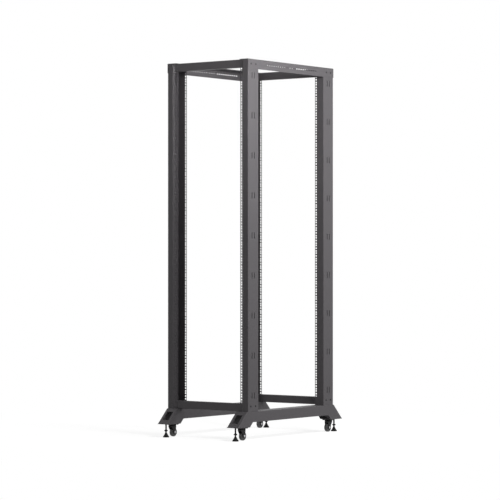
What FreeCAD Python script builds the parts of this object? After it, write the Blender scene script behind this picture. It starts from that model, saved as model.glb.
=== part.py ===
import FreeCAD, Part
import math
import os
import Sketcher

# Four post open frame rack, 42 usable rack units, standing on two channel runners with
# castors and levelling feet.  Millimetres.  +X is the right side, -Y the front, +Z up.
# The origin is on the floor under the middle of the rack.

doc = FreeCAD.newDocument("open_frame_rack")
sheet = doc.addObject("Spreadsheet::Sheet", "Sizes")

SIZES = [
    ("unit_height", "44.45"),
    ("unit_count", "42"),
    ("beam_units", "1"),
    ("rail_opening", "450"),
    ("rail_flange", "15"),
    ("rail_hole", "9.5"),
    ("hole_inset", "7.55"),
    ("hole_first", "6.35"),
    ("hole_step", "15.875"),
    ("rack_depth", "826"),
    ("post_depth", "98"),
    ("post_sheet", "2"),
    ("face_strip", "35"),
    ("joggle_run", "10"),
    ("rail_recess", "9.5"),
    ("fold_radius", "3"),
    ("side_slot_width", "5.5"),
    ("side_slot_height", "28"),
    ("side_slot_gap", "22"),
    ("side_slot_units", "5"),
    ("side_slot_count", "9"),
    ("side_slot_start", "2"),
    ("beam_sheet", "2"),
    ("cross_beam_depth", "30"),
    ("cross_beam_margin", "8"),
    ("side_beam_height", "54"),
    ("tie_slot_width", "8.5"),
    ("tie_slot_height", "14"),
    ("tie_slot_pitch", "20.5"),
    ("tie_slot_count", "10"),
    ("tie_slot_start", "50"),
    ("tie_slot_middle", "3"),
    ("runner_top", "160"),
    ("runner_bottom", "101"),
    ("runner_width", "77"),
    ("runner_overhang", "93"),
    ("runner_sheet", "2.5"),
    ("foot_bottom", "74"),
    ("foot_slope_run", "86"),
    ("foot_length", "113"),
    ("foot_chamfer", "27"),
    ("window_width", "41"),
    ("window_bottom", "97"),
    ("window_height", "45"),
    ("foot_plate_sheet", "3"),
    ("pad_inset", "29.5"),
    ("pad_radius", "18"),
    ("pad_rim", "4"),
    ("pad_height", "24"),
    ("pad_neck_radius", "6.5"),
    ("stud_radius", "5"),
    ("stud_length", "78"),
    ("nut_flats", "17"),
    ("nut_height", "8"),
    ("nut_level", "34"),
    ("castor_trail", "8"),
    ("castor_plate_length", "54"),
    ("castor_plate_width", "58"),
    ("castor_plate_sheet", "2.5"),
    ("castor_head_radius", "23.5"),
    ("castor_head_height", "7"),
    ("fork_sheet", "2.5"),
    ("fork_gap", "20.6"),
    ("wheel_radius", "25"),
    ("wheel_width", "20"),
    ("wheel_clearance", "1"),
    ("axle_radius", "4"),
    ("running_fit", "0.05"),
    ("seat_gap", "0.3"),
]

for row, (alias, value) in enumerate(SIZES, start=1):
    sheet.set("A" + str(row), alias)
    sheet.set("B" + str(row), value)
    sheet.setAlias("B" + str(row), alias)
doc.recompute()

pieces = []

# Round trade parts are kept many sided, so that the rack stays light.
WHEEL_SIDES = 30
BEARING_SIDES = 20
PAD_SIDES = 20
STUD_SIDES = 10

POST_HEIGHT = "((Sizes.unit_count + 2 * Sizes.beam_units) * Sizes.unit_height)"
BEAM_HEIGHT = "(Sizes.beam_units * Sizes.unit_height)"
POST_WIDTH = "(Sizes.face_strip + Sizes.joggle_run + Sizes.rail_flange)"
RACK_WIDTH = "(Sizes.rail_opening + 2 * " + POST_WIDTH + ")"
RUNNER_MIDDLE = "((" + RACK_WIDTH + " - Sizes.runner_width) / 2)"
RUNNER_END = "(Sizes.rack_depth / 2 + Sizes.runner_overhang)"
PAD_LINE = "(" + RUNNER_END + " - Sizes.pad_inset)"
SWIVEL_LINE = "(" + RUNNER_END + " - Sizes.foot_length + Sizes.castor_plate_length / 2)"
SIDES = (("left", -1), ("right", 1))
ENDS = (("front", -1), ("rear", 1))


def new_body(label, base=("0", "0", "0")):
    """Start one sub-part with its own placement, bound to the sheet."""
    body = doc.addObject("PartDesign::Body", label)
    body.Label = label
    for axis, text in zip("xyz", base):
        body.setExpression("Placement.Base." + axis, text)
    pieces.append(body)
    return body


def new_sketch(body, plane, name):
    """Add a sketch on one of the body's own origin planes."""
    sketch = body.newObject("Sketcher::SketchObject", name)
    for feature in body.Origin.OriginFeatures:
        if feature.Role == plane:
            sketch.AttachmentSupport = [(feature, "")]
    sketch.MapMode = "FlatFace"
    return sketch


def pin_point(sketch, line, point, x_text, y_text):
    """Hold one sketch point at driven distances from the sketch origin."""
    first = sketch.addConstraint(Sketcher.Constraint("DistanceX", -1, 1, line, point, 1.0))
    sketch.setExpression("Constraints[" + str(first) + "]", x_text)
    second = sketch.addConstraint(Sketcher.Constraint("DistanceY", -1, 1, line, point, 1.0))
    sketch.setExpression("Constraints[" + str(second) + "]", y_text)


def outline(sketch, corners):
    """Closed outline through corners that are given as expression pairs."""
    count = len(corners)
    start = sketch.GeometryCount
    ring = []
    for index in range(count):
        angle = 2 * math.pi * index / count
        ring.append(FreeCAD.Vector(10 * math.cos(angle), 10 * math.sin(angle), 0))
    for index in range(count):
        sketch.addGeometry(Part.LineSegment(ring[index], ring[(index + 1) % count]), False)
    for index in range(count):
        following = start + (index + 1) % count
        sketch.addConstraint(Sketcher.Constraint("Coincident", start + index, 2, following, 1))
    for index in range(count):
        pin_point(sketch, start + index, 1, corners[index][0], corners[index][1])


def rectangle(sketch, x_low, x_high, y_low, y_high):
    """Closed rectangle between driven limits."""
    outline(sketch, [(x_low, y_low), (x_high, y_low), (x_high, y_high), (x_low, y_high)])


def pad(body, sketch, length, name, backwards=False, middle=False):
    """Raise a sketch into material."""
    feature = body.newObject("PartDesign::Pad", name)
    feature.Profile = sketch
    feature.setExpression("Length", length)
    feature.Reversed = backwards
    feature.Midplane = middle
    body.Tip = feature
    return feature


def pocket(body, sketch, length, name, backwards=False, middle=False):
    """Cut a sketch out of the material."""
    feature = body.newObject("PartDesign::Pocket", name)
    feature.Profile = sketch
    feature.setExpression("Length", length)
    feature.Reversed = backwards
    feature.Midplane = middle
    body.Tip = feature
    return feature


def repeat_up(body, feature, sketch, length, count, name, axis="V_Axis"):
    """Repeat a cut along one of its sketch's axes."""
    pattern = body.newObject("PartDesign::LinearPattern", name)
    pattern.Originals = [feature]
    pattern.Direction = (sketch, [axis])
    pattern.setExpression("Length", length)
    pattern.setExpression("Occurrences", count)
    body.Tip = pattern
    return pattern


def signed(sign, text):
    """The expression with a side's sign."""
    return text if sign > 0 else "-(" + text + ")"


def place(item, base, turn=0, axis=(0, 0, 1)):
    """Put a piece at driven distances from the rack's origin."""
    item.Placement = FreeCAD.Placement(FreeCAD.Vector(0, 0, 0), FreeCAD.Vector(*axis), turn)
    for direction, text in zip("xyz", base):
        item.setExpression("Placement.Base." + direction, text)


def many_sided(label, sides, radius, height, base, turn=0, axis=(0, 0, 1)):
    """Regular prism whose corners lie on the radius."""
    prism = doc.addObject("Part::Prism", label)
    prism.Polygon = sides
    prism.setExpression("Circumradius", radius)
    prism.setExpression("Height", height)
    place(prism, base, turn, axis)
    return prism


def block(label, sizes, base):
    """Plain rectangular plate."""
    plate = doc.addObject("Part::Box", label)
    for direction, text in zip(("Length", "Width", "Height"), sizes):
        plate.setExpression(direction, text)
    place(plate, base)
    return plate


def fuse(label, items):
    """One sub-part from pieces that run into each other."""
    joined = doc.addObject("Part::MultiFuse", label)
    joined.Shapes = items
    joined.Refine = True
    pieces.append(joined)
    return joined


def cut_away(label, blank, tool):
    """Sub-part that is a blank less a tool."""
    rest = doc.addObject("Part::Cut", label)
    rest.Base = blank
    rest.Tool = tool
    pieces.append(rest)
    return rest


def make_post(label, side, end):
    """Folded channel post: side wall, face strips, joggled outer flange and rail holes."""
    body = new_body(label, (
        signed(side, RACK_WIDTH + " / 2"),
        signed(end, "Sizes.rack_depth / 2"),
        "Sizes.runner_top",
    ))
    bend = "Sizes.post_sheet * Sizes.rail_recess / Sizes.joggle_run / 2"
    strip = "Sizes.face_strip"
    slope = "(Sizes.face_strip + Sizes.joggle_run)"
    edge = POST_WIDTH
    deep = "Sizes.post_depth"
    skin = "Sizes.post_sheet"
    step = "Sizes.rail_recess"
    corners = [
        ("0", "0"),
        (strip, "0"),
        (slope, step),
        (edge, step),
        (edge, step + " + " + skin),
        (slope + " - " + bend, step + " + " + skin),
        (strip + " - " + bend, skin),
        (skin, skin),
        (skin, deep + " - " + skin),
        (edge, deep + " - " + skin),
        (edge, deep),
        ("0", deep),
    ]
    profile = new_sketch(body, "XY_Plane", label + "_profile")
    outline(profile, [(signed(-side, across), signed(-end, inward)) for across, inward in corners])
    wall = pad(body, profile, POST_HEIGHT, label + "_sheet")
    doc.recompute()
    folds = []
    for index, fold in enumerate(wall.Shape.Edges, start=1):
        middle = fold.CenterOfMass
        upright = abs(fold.Vertexes[0].Z - fold.Vertexes[-1].Z) > 1
        at_side = abs(middle.x) < 0.01
        if upright and at_side:
            folds.append("Edge" + str(index))
    rounding = body.newObject("PartDesign::Fillet", label + "_folds")
    rounding.Base = (wall, folds)
    rounding.setExpression("Radius", "Sizes.fold_radius")
    body.Tip = rounding
    doc.recompute()

    holes = new_sketch(body, "XZ_Plane", label + "_rail_hole_sketch")
    column = signed(-side, POST_WIDTH + " - Sizes.hole_inset")
    for number in range(3):
        level = BEAM_HEIGHT + " + Sizes.hole_first + " + str(number) + " * Sizes.hole_step"
        rectangle(
            holes,
            column + " - Sizes.rail_hole / 2",
            column + " + Sizes.rail_hole / 2",
            level + " - Sizes.rail_hole / 2",
            level + " + Sizes.rail_hole / 2",
        )
    cut = pocket(body, holes, "Sizes.rail_recess + 2 * Sizes.post_sheet",
                 label + "_rail_holes", backwards=(end > 0))
    run = "(Sizes.unit_count - 1) * Sizes.unit_height"
    repeat_up(body, cut, holes, run, "Sizes.unit_count", label + "_rail_pattern")

    slots = new_sketch(body, "YZ_Plane", label + "_side_slot_sketch")
    middle = signed(-end, "Sizes.post_depth / 2")
    for place in (-1, 1):
        centre = middle + " + " + str(place) + " * Sizes.side_slot_gap / 2"
        level = "Sizes.side_slot_start * Sizes.unit_height"
        rectangle(
            slots,
            centre + " - Sizes.side_slot_width / 2",
            centre + " + Sizes.side_slot_width / 2",
            level + " - Sizes.side_slot_height / 2",
            level + " + Sizes.side_slot_height / 2",
        )
    cut = pocket(body, slots, "2 * Sizes.post_sheet", label + "_side_slots", backwards=(side < 0))
    run = "(Sizes.side_slot_count - 1) * Sizes.side_slot_units * Sizes.unit_height"
    repeat_up(body, cut, slots, run, "Sizes.side_slot_count", label + "_slot_pattern")
    return body


def make_cross_beam(label, end, level, tall):
    """Channel beam between the left and right posts, behind their flanges."""
    body = new_body(label, ("0", signed(end, "Sizes.rack_depth / 2"), level))
    near = "Sizes.rail_recess + Sizes.post_sheet"
    far = near + " + Sizes.cross_beam_depth"
    skin = "Sizes.beam_sheet"
    corners = [
        (near, "0"),
        (far, "0"),
        (far, skin),
        (near + " + " + skin, skin),
        (near + " + " + skin, tall + " - " + skin),
        (far, tall + " - " + skin),
        (far, tall),
        (near, tall),
    ]
    profile = new_sketch(body, "YZ_Plane", label + "_profile")
    outline(profile, [(signed(-end, inward), up) for inward, up in corners])
    length = RACK_WIDTH + " - 2 * (Sizes.face_strip + Sizes.cross_beam_margin)"
    pad(body, profile, length, label + "_sheet", middle=True)
    return body


def make_side_beam(label, side):
    """Angle beam over the front and rear posts with three groups of upright slots."""
    top = "Sizes.runner_top + " + POST_HEIGHT + " + Sizes.beam_sheet"
    body = new_body(label, (signed(side, RACK_WIDTH + " / 2"), "0", top))
    skin = "Sizes.beam_sheet"
    corners = [
        (skin, "0"),
        (skin, "-Sizes.side_beam_height"),
        ("0", "-Sizes.side_beam_height"),
        ("0", "-" + skin),
        ("-" + POST_WIDTH, "-" + skin),
        ("-" + POST_WIDTH, "0"),
    ]
    profile = new_sketch(body, "XZ_Plane", label + "_profile")
    outline(profile, [(signed(side, across), up) for across, up in corners])
    pad(body, profile, "Sizes.rack_depth", label + "_sheet", middle=True)
    doc.recompute()
    level = "-Sizes.side_beam_height / 2"
    pitch = "Sizes.tie_slot_pitch"
    groups = [
        ("front", "-Sizes.tie_slot_start - (Sizes.tie_slot_count - 1) * " + pitch, "tie_slot_count"),
        ("middle", "-(Sizes.tie_slot_middle - 1) * " + pitch + " / 2", "tie_slot_middle"),
        ("rear", "Sizes.tie_slot_start", "tie_slot_count"),
    ]
    for name, first, count in groups:
        slots = new_sketch(body, "YZ_Plane", label + "_" + name + "_slot_sketch")
        rectangle(
            slots,
            first + " - Sizes.tie_slot_width / 2",
            first + " + Sizes.tie_slot_width / 2",
            level + " - Sizes.tie_slot_height / 2",
            level + " + Sizes.tie_slot_height / 2",
        )
        cut = pocket(body, slots, "2 * Sizes.beam_sheet", label + "_" + name + "_slot",
                     backwards=(side > 0))
        run = "(Sizes." + count + " - 1) * " + pitch
        title = label + "_" + name + "_slots"
        repeat_up(body, cut, slots, run, "Sizes." + count, title, axis="H_Axis")
    return body


def make_runner(label, side):
    """Inverted channel running front to rear, its ends folded down as sloped feet."""
    body = new_body(label, (signed(side, RUNNER_MIDDLE), "0", "0"))
    foot = RUNNER_END + " - Sizes.foot_length"
    right_half = [
        (RUNNER_END + " - Sizes.foot_slope_run", "Sizes.runner_top"),
        (RUNNER_END, "Sizes.foot_bottom"),
        (foot, "Sizes.foot_bottom"),
        (foot + " - Sizes.foot_chamfer", "Sizes.runner_bottom"),
    ]
    left_half = [("-(" + along + ")", up) for along, up in reversed(right_half)]
    profile = new_sketch(body, "YZ_Plane", label + "_profile")
    outline(profile, right_half + left_half)
    pad(body, profile, "Sizes.runner_width", label + "_block", middle=True)
    doc.recompute()

    rise = "(Sizes.runner_top - Sizes.foot_bottom)"
    hypotenuse = "sqrt(Sizes.foot_slope_run ^ 2 + " + rise + " ^ 2)"
    inset = "Sizes.runner_sheet * " + hypotenuse + " / " + rise
    lean = "Sizes.foot_slope_run * (" + rise + " - Sizes.runner_sheet) / " + rise
    bottom = RUNNER_END + " - " + inset
    right_half = [
        (bottom + " - " + lean, "Sizes.runner_top - Sizes.runner_sheet"),
        (bottom, "Sizes.foot_bottom"),
    ]
    left_half = [("-(" + along + ")", up) for along, up in reversed(right_half)]
    hollow = new_sketch(body, "YZ_Plane", label + "_hollow_sketch")
    outline(hollow, right_half + left_half)
    pocket(body, hollow, "Sizes.runner_width - 2 * Sizes.runner_sheet",
           label + "_hollow", middle=True)
    doc.recompute()

    window = new_sketch(body, "XZ_Plane", label + "_window_sketch")
    rectangle(
        window,
        "-Sizes.window_width / 2",
        "Sizes.window_width / 2",
        "Sizes.window_bottom",
        "Sizes.window_bottom + Sizes.window_height",
    )
    pocket(body, window, "2 * " + RUNNER_END, label + "_windows", middle=True)
    return body


def make_foot_plate(label, side, end):
    """Plate between a foot's walls that carries the castor and the levelling foot."""
    rise = "(Sizes.runner_top - Sizes.foot_bottom)"
    lean = "sqrt(Sizes.foot_slope_run ^ 2 + " + rise + " ^ 2)"
    inset = "(Sizes.runner_sheet * " + lean + " + Sizes.foot_plate_sheet * Sizes.foot_slope_run)"
    outer = "(" + RUNNER_END + " - " + inset + " / " + rise + ")"
    inner = "(" + RUNNER_END + " - Sizes.foot_length)"
    wide = "(Sizes.runner_width - 2 * Sizes.runner_sheet)"
    across = signed(side, RUNNER_MIDDLE)
    low = inner if end > 0 else "-" + outer
    plate = block(label + "_blank", (wide, outer + " - " + inner, "Sizes.foot_plate_sheet"),
                  (across + " - " + wide + " / 2", low, "Sizes.foot_bottom"))
    bore = "(Sizes.stud_radius + Sizes.running_fit)"
    hole = many_sided(label + "_stud_hole", STUD_SIDES, bore, "Sizes.runner_top",
                      (across, signed(end, PAD_LINE), "0"))
    return cut_away(label, plate, hole)


def make_levelling_foot(label, side, end):
    """Stud with its flared pad and the lock nut on it."""
    across = signed(side, RUNNER_MIDDLE)
    along = signed(end, PAD_LINE)
    body = doc.addObject("PartDesign::Body", label + "_pad")
    place(body, (across, along, "0"))
    blank = body.newObject("PartDesign::AdditivePrism", label + "_blank")
    blank.Polygon = PAD_SIDES
    blank.setExpression("Circumradius", "Sizes.pad_radius")
    blank.setExpression("Height", "Sizes.pad_height")
    body.Tip = blank
    doc.recompute()
    rim = []
    for index, edge in enumerate(blank.Shape.Edges, start=1):
        if min(corner.Z for corner in edge.Vertexes) > 0:
            rim.append("Edge" + str(index))
    flare = body.newObject("PartDesign::Chamfer", label + "_flare")
    flare.Base = (blank, rim)
    flare.ChamferType = "Two distances"
    flare.FlipDirection = True
    flare.setExpression("Size", "Sizes.pad_radius - Sizes.pad_neck_radius")
    flare.setExpression("Size2", "Sizes.pad_height - Sizes.pad_rim")
    body.Tip = flare
    stud = many_sided(label + "_stud", STUD_SIDES, "Sizes.stud_radius",
                      "Sizes.stud_length - Sizes.pad_rim", (across, along, "Sizes.pad_rim"))
    nut = many_sided(label + "_nut", 6, "Sizes.nut_flats / sqrt(3)", "Sizes.nut_height",
                     (across, along, "Sizes.nut_level"))
    return fuse(label, [body, stud, nut])


def make_castor_plate(label, side, end):
    """Top plate of a castor, under the foot plate."""
    wide = "Sizes.castor_plate_width"
    long = "Sizes.castor_plate_length"
    plate = block(label, (wide, long, "Sizes.castor_plate_sheet"), (
        signed(side, RUNNER_MIDDLE) + " - " + wide + " / 2",
        signed(end, SWIVEL_LINE) + " - " + long + " / 2",
        "Sizes.foot_bottom - Sizes.castor_plate_sheet",
    ))
    pieces.append(plate)
    return plate


def make_castor_fork(label, side, end):
    """Swivelling fork: bearing head, tapered yoke open round the wheel, and the axle."""
    across = signed(side, RUNNER_MIDDLE)
    along = signed(end, SWIVEL_LINE)
    underside = "Sizes.foot_bottom - Sizes.castor_plate_sheet - Sizes.seat_gap"
    crown = "(" + underside + " - Sizes.castor_head_height)"
    head = "Sizes.castor_head_radius"
    boss = "2 * Sizes.axle_radius"
    trail = "Sizes.castor_trail"
    axle = "(Sizes.wheel_radius + Sizes.wheel_clearance)"
    shoulder = crown + " - Sizes.castor_head_height"
    wide = "(Sizes.fork_gap + 2 * Sizes.fork_sheet)"
    body = doc.addObject("PartDesign::Body", label + "_yoke")
    place(body, (across, along, "0"))
    yoke = new_sketch(body, "YZ_Plane", label + "_yoke_sketch")
    corners = [
        ("-" + head, crown),
        (head, crown),
        (head, shoulder),
        ("-" + trail + " + " + boss, axle + " - " + boss),
        ("-" + trail + " - " + boss, axle + " - " + boss),
        ("-" + trail + " - " + boss, axle + " + " + boss),
        ("-" + head, shoulder),
    ]
    outline(yoke, [(signed(end, inward), up) for inward, up in corners])
    pad(body, yoke, wide, label + "_yoke_block", middle=True)
    doc.recompute()
    slot = new_sketch(body, "YZ_Plane", label + "_slot_sketch")
    reach = "2 * Sizes.wheel_radius"
    rectangle(slot, "-" + reach, reach, "0", crown + " - Sizes.fork_sheet")
    pocket(body, slot, "Sizes.fork_gap", label + "_slot", middle=True)
    bearing = many_sided(label + "_bearing", BEARING_SIDES, head, "Sizes.castor_head_height",
                         (across, along, crown))
    rod = many_sided(label + "_axle", STUD_SIDES, "Sizes.axle_radius", wide,
                     (across + " - " + wide + " / 2", wheel_line(end), axle), 90, (0, 1, 0))
    return fuse(label, [body, bearing, rod])


def wheel_line(end):
    """Where a castor's wheel stands along the rack."""
    return signed(end, SWIVEL_LINE + " - Sizes.castor_trail")


def make_castor_wheel(label, side, end):
    """Wheel whose bore clears the axle's corners as it turns."""
    spot = (
        signed(side, RUNNER_MIDDLE) + " - Sizes.wheel_width / 2",
        wheel_line(end),
        "Sizes.wheel_radius + Sizes.wheel_clearance",
    )
    tread = many_sided(label + "_tread", WHEEL_SIDES, "Sizes.wheel_radius",
                       "Sizes.wheel_width", spot, 90, (0, 1, 0))
    bore = "(Sizes.axle_radius + Sizes.running_fit) / cos(180 deg / " + str(STUD_SIDES) + ")"
    hole = many_sided(label + "_bore", STUD_SIDES, bore, "Sizes.wheel_width", spot, 90, (0, 1, 0))
    return cut_away(label, tread, hole)


for side_name, side in SIDES:
    for end_name, end in ENDS:
        make_post("post_" + end_name + "_" + side_name, side, end)

for end_name, end in ENDS:
    make_cross_beam("bottom_beam_" + end_name, end, "Sizes.runner_top", BEAM_HEIGHT)
    upper = "Sizes.runner_top + " + POST_HEIGHT + " - " + BEAM_HEIGHT
    make_cross_beam("top_beam_" + end_name, end, upper, BEAM_HEIGHT)

for side_name, side in SIDES:
    make_side_beam("top_beam_" + side_name, side)
    make_runner("base_beam_" + side_name, side)

for side_name, side in SIDES:
    for end_name, end in ENDS:
        corner = end_name + "_" + side_name
        make_foot_plate("foot_plate_" + corner, side, end)
        make_levelling_foot("levelling_foot_" + corner, side, end)
        make_castor_plate("castor_plate_" + corner, side, end)
        make_castor_fork("castor_fork_" + corner, side, end)
        make_castor_wheel("castor_wheel_" + corner, side, end)

doc.recompute()

for item in doc.Objects:
    for state in item.State:
        if state in ("Invalid", "Error"):
            raise RuntimeError(item.Label + " is " + state)
for piece in pieces:
    if piece.Shape.isNull() or not piece.Shape.isValid():
        raise RuntimeError(piece.Label + " has no valid shape")
    if len(piece.Shape.Solids) != 1:
        raise RuntimeError(piece.Label + " is not one solid")

os.makedirs("parts", exist_ok=True)
for piece in pieces:
    piece.Shape.exportStep("parts/" + piece.Label + ".step")
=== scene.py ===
"""Four post open frame rack: finish, small hardware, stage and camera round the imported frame."""

import math

import bpy
import numpy as np
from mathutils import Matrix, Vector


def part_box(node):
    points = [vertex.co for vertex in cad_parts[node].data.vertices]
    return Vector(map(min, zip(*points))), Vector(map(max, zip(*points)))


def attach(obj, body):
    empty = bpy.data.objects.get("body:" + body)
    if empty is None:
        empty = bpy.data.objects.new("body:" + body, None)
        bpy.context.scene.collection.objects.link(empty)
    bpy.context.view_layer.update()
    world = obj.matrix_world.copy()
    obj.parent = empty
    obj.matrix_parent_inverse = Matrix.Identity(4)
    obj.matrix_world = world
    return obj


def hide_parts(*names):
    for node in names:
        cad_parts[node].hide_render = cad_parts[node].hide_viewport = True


bl_info = {
    "name": "Open frame rack",
    "version": (1, 0, 0),
    "blender": (4, 5, 0),
    "location": "3D View > Sidebar > Rack",
    "description": "Folded posts, beams, sloped feet, castors and levelling feet of an open frame rack",
    "category": "Object",
}

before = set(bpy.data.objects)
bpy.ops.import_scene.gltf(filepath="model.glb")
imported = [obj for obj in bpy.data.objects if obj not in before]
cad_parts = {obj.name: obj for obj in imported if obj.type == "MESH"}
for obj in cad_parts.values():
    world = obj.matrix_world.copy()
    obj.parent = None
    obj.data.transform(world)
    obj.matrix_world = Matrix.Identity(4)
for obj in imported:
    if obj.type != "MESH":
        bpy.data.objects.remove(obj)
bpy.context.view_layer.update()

SIDES = (("left", -1), ("right", 1))
ENDS = (("front", -1), ("rear", 1))
CORNERS = [(end + "_" + side, x_sign, y_sign) for side, x_sign in SIDES for end, y_sign in ENDS]
# Points nearer than this are one point.
SAME_POINT = 1e-6
# Keeps a divisor away from nought.
TINY = 1e-20
# Faces that meet at less than this are shaded as one.
SMOOTH_ANGLE = math.radians(38)
# Between a screw's head and its hole in a side beam.
SCREW_GAP = 0.0004
# Width of a screw's socket across its flats.
SCREW_SOCKET = 0.0035


# ---------------------------------------------------------------- sizes and colours


def length(label, text, default):
    """A length in metres that a user may change."""
    return bpy.props.FloatProperty(name=label, description=text, default=default, unit="LENGTH",
                                   precision=4)


def number(label, text, default):
    """A count that a user may change."""
    return bpy.props.IntProperty(name=label, description=text, default=default, min=1)


def amount(label, text, default):
    """A plain factor that a user may change."""
    return bpy.props.FloatProperty(name=label, description=text, default=default)


def colour(label, text, default):
    """A linear colour that a user may change."""
    return bpy.props.FloatVectorProperty(name=label, description=text, default=default, size=3,
                                         subtype="COLOR", min=0, max=1)


class RackSheetSizes(bpy.types.PropertyGroup):
    """Sizes of the folded and punched sheets."""

    post_gauge: length("Post sheet", "Thickness of the posts", 0.002)
    beam_gauge: length("Beam sheet", "Thickness of the beams", 0.002)
    runner_gauge: length("Runner sheet", "Thickness of the base runners", 0.0025)
    fold_radius: length("Fold radius", "Outer radius of a fold", 0.003)
    bend_radius: length("Foot bend", "Outer radius where a runner bends into its foot", 0.006)
    face_strip: length("Face strip", "Width of a post's flat face", 0.035)
    joggle_run: length("Joggle run", "Width over which the face steps back", 0.010)
    rail_recess: length("Rail recess", "How far the rail lies behind the face", 0.0095)
    unit_height: length("Rack unit", "Height of one rack unit", 0.04445)
    unit_count: number("Rack units", "Usable rack units", 42)
    rail_hole: length("Rail hole", "Width of a square rail hole", 0.0095)
    hole_inset: length("Hole inset", "From a rail's edge to its column of holes", 0.00755)
    hole_first: length("First hole", "From a unit's lower edge to its first hole", 0.00635)
    hole_step: length("Hole step", "Between the three holes of a unit", 0.015875)
    side_slot_width: length("Side slot width", "Width of a slot in a post's side", 0.0055)
    side_slot_height: length("Side slot height", "Height of a slot in a post's side", 0.036)
    side_slot_gap: length("Side slot gap", "Between the two slots of a pair", 0.022)
    side_slot_units: number("Side slot units", "Rack units between pairs of slots", 5)
    side_slot_pairs: number("Side slot pairs", "Pairs of slots in a post's side", 9)
    side_slot_start: number("Side slot start", "Rack units below the first pair", 2)
    tie_slot_length: length("Tie slot length", "Length of a slot along a side beam", 0.015)
    tie_slot_height: length("Tie slot height", "Height of a slot in a side beam", 0.006)
    tie_slot_pitch: length("Tie slot pitch", "Between slots of a side beam", 0.0205)
    tie_slot_start: length("Tie slot start", "From the middle to an outer group", 0.050)
    tie_slot_outer: number("Outer tie slots", "Slots in an outer group", 10)
    tie_slot_middle: number("Middle tie slots", "Slots in the middle group", 3)
    slide_gauge: length("Slide sheet", "Thickness of the slide behind a side beam", 0.0015)
    slide_gap: length("Slide gap", "Between a side beam and its slide", 0.0003)
    slide_length: length("Slide length", "Length of the slide behind a side beam", 0.355)
    window_width: length("Window width", "Opening in a sloped foot, across", 0.041)
    window_low: length("Window bottom", "Height of the window's lower edge", 0.097)
    window_high: length("Window top", "Height of the window's upper edge", 0.142)
    runner_low: length("Runner bottom", "Height of a runner's lower edge between the feet", 0.101)
    foot_length: length("Foot length", "Length of a foot's deep walls", 0.113)
    foot_chamfer: length("Foot chamfer", "Run of the slant behind a foot", 0.027)
    foot_slope: length("Foot slope", "Run of a foot's sloped face", 0.086)


class RackHardwareSizes(bpy.types.PropertyGroup):
    """Sizes of the castors, levelling feet and screws."""

    pad_rim: length("Pad rim", "Height of a levelling pad's rim", 0.004)
    pad_height: length("Pad height", "Height of a levelling pad", 0.024)
    pad_neck: length("Pad neck", "Radius of a levelling pad's neck", 0.0065)
    stud_radius: length("Stud radius", "Outer radius of the thread", 0.005)
    thread_pitch: length("Thread pitch", "Rise of one turn of the thread", 0.0015)
    nut_flats: length("Nut flats", "Width of the lock nut across its flats", 0.017)
    nut_level: length("Nut level", "Height of the lock nut above the floor", 0.034)
    nut_height: length("Nut height", "Height of the lock nut", 0.008)
    head_radius: length("Castor head", "Radius of the swivel bearing", 0.0235)
    head_height: length("Castor head height", "Height of the swivel bearing", 0.007)
    fork_gap: length("Fork gap", "Between the fork's legs", 0.0206)
    fork_gauge: length("Fork sheet", "Thickness of the fork", 0.0025)
    axle_radius: length("Axle radius", "Radius of the castor's axle", 0.004)
    hub_radius: length("Hub radius", "Radius of the wheel's hub", 0.0105)
    screw_radius: length("Screw head", "Radius of a screw's head", 0.0055)
    screw_height: length("Screw height", "Height of a screw's head", 0.0017)
    post_screw_level: length("Post screws", "Height of the lower screws in a post", 0.190)
    screw_spread: length("Screw spread", "Between the two screws of a pair", 0.044)


class RackFinish(bpy.types.PropertyGroup):
    """Colours of the finishes."""

    coat: colour("Powder coat", "Dark grey of the posts, beams and runners", (0.098, 0.092, 0.098))
    zinc: colour("Zinc", "Plated axles and their nuts", (0.42, 0.42, 0.43))
    fork: colour("Black steel", "Blackened castors, studs and screws", (0.022, 0.021, 0.022))
    tread: colour("Tread", "Black polymer of the wheels", (0.006, 0.006, 0.006))
    pad: colour("Pad", "Black of the levelling feet", (0.012, 0.012, 0.012))


class RackStage(bpy.types.PropertyGroup):
    """Camera, lamps and floor."""

    azimuth: bpy.props.FloatProperty(name="Azimuth", description="Turn of the camera to the right",
                                     default=math.radians(36.84), subtype="ANGLE")
    distance: length("Distance", "From the rack's middle to the camera", 12.967)
    height: length("Camera height", "Height of the camera above the floor", 0.982)
    lens: amount("Lens", "Focal length in millimetres", 162.19)
    shift_x: amount("Shift across", "Sideways shift of the picture", -0.00296)
    shift_y: amount("Shift up", "Upward shift of the picture", 0.0271)
    ambient: amount("Ambient", "Strength of the sky on the rack", 0.08)
    key_power: amount("Key lamp", "Power of the lamp high on the right in watts", 36.0)
    side_power: amount("Side lamp", "Power of the broad lamp on the right in watts", 80.0)
    edge_power: amount("Edge lamp", "Power of the small lamp toward the front folds in watts", 1.4)
    front_power: amount("Front lamp", "Power of the broad lamp in front in watts", 26.0)
    left_power: amount("Left lamp", "Power of the broad lamp on the left in watts", 65.0)
    rear_power: amount("Rear lamp", "Power of the broad lamp behind in watts", 35.0)
    floor_tint: amount("Floor", "Grey of the floor", 0.45)
    floor_lift: amount("Floor lift", "Light added to the floor as seen by the eye", 0.8)


# ---------------------------------------------------------------- surfaces


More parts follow.
